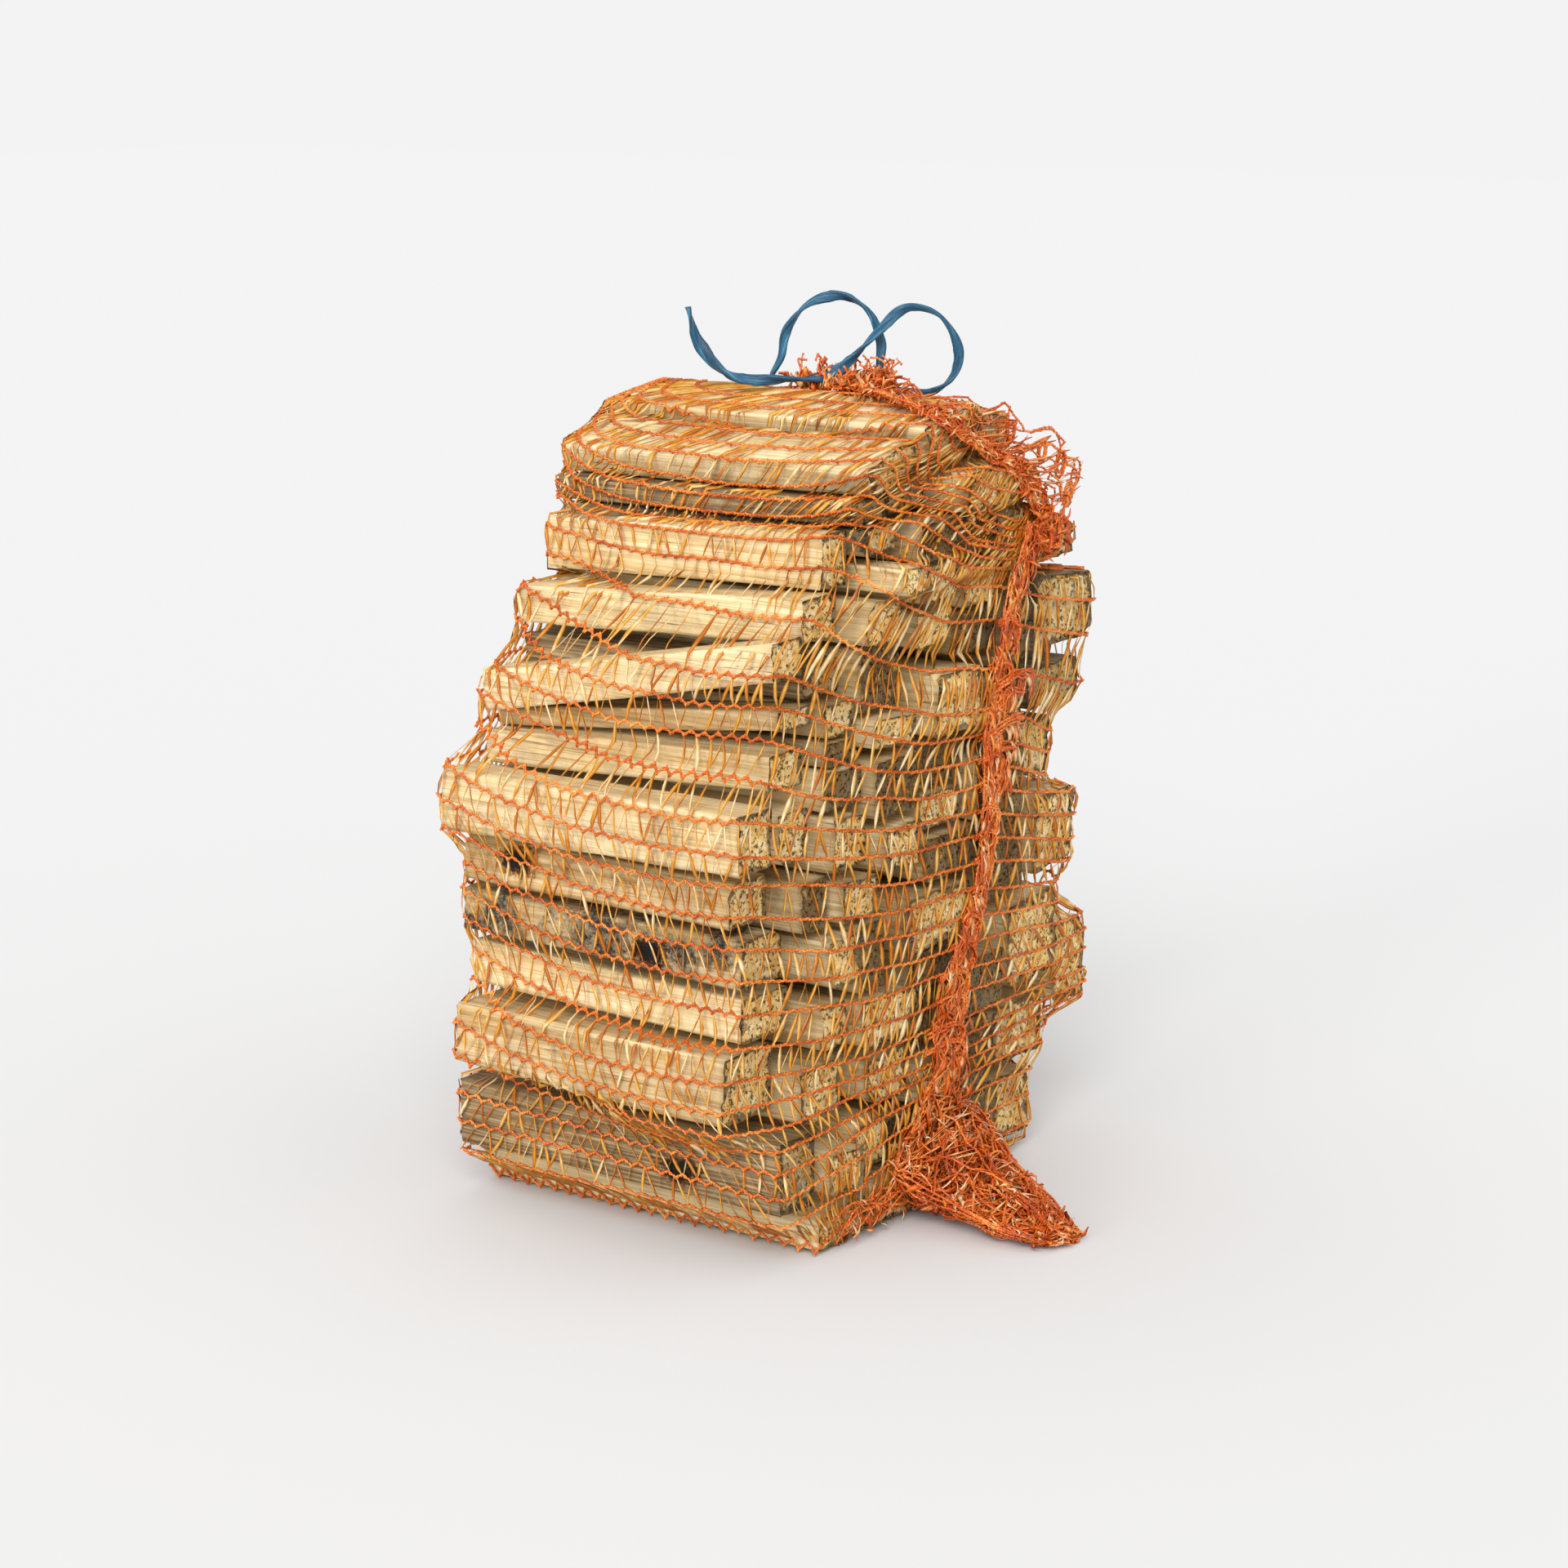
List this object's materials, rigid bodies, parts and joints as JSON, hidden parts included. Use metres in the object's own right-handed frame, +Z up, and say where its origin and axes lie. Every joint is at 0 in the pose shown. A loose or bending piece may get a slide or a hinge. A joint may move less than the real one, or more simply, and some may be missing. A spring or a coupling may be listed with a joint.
{
  "type": "firewood bundle",
  "caption": "Split kindling stacked in courses in an orange knitted net bag, with a gathered side seam, a bunched bottom corner and a blue tape drawstring tied in a bow.",
  "frame": {"origin": "on the floor under the stack, on the flat bottom of the bag", "axes": "+Z up; the sticks lie along X, their cut ends and the bag's side seam face +X, and the long sides of the front sticks face -Y"},
  "size_m": [0.3866, 0.4013, 0.5742],
  "materials": {
    "split_wood": "matte, freshly split",
    "tan_wood": "matte, dried split face",
    "weathered_wood": "matte, weathered",
    "dirty_wood": "matte, bark-stained",
    "net_yarn": "satin knitted polyethylene",
    "tape": "gloss film tape"
  },
  "bodies": {
    "root": {"stick_01": "split_wood", "stick_02": "weathered_wood", "stick_03": "tan_wood", "stick_04": "split_wood", "stick_05": "dirty_wood", "stick_06": "tan_wood", "stick_07": "split_wood", "stick_08": "split_wood", "stick_09": "tan_wood", "stick_10": "split_wood", "stick_11": "weathered_wood", "stick_12": "split_wood", "stick_13": "split_wood", "stick_14": "weathered_wood", "stick_15": "split_wood", "stick_16": "split_wood", "stick_17": "split_wood", "stick_18": "split_wood", "stick_19": "split_wood", "stick_20": "tan_wood", "stick_21": "split_wood", "stick_22": "split_wood", "stick_23": "split_wood", "stick_24": "tan_wood", "stick_25": "split_wood", "stick_26": "split_wood", "stick_27": "dirty_wood", "stick_28": "weathered_wood", "stick_29": "split_wood", "stick_30": "split_wood", "stick_31": "split_wood", "stick_32": "split_wood", "stick_33": "split_wood", "stick_34": "split_wood", "stick_35": "split_wood", "stick_36": "split_wood", "stick_37": "split_wood", "stick_38": "split_wood", "stick_39": "split_wood", "stick_40": "tan_wood", "stick_41": "split_wood", "stick_42": "split_wood", "stick_43": "split_wood", "stick_44": "split_wood", "stick_45": "split_wood", "stick_46": "tan_wood", "stick_47": "tan_wood", "stick_48": "split_wood", "stick_49": "split_wood", "stick_50": "split_wood", "stick_51": "tan_wood", "stick_52": "weathered_wood", "stick_53": "dirty_wood", "stick_54": "tan_wood", "stick_55": "split_wood", "stick_56": "split_wood", "stick_57": "tan_wood", "net_bag": "net_yarn", "drawstring": "tape"}
  },
  "joints": []
}
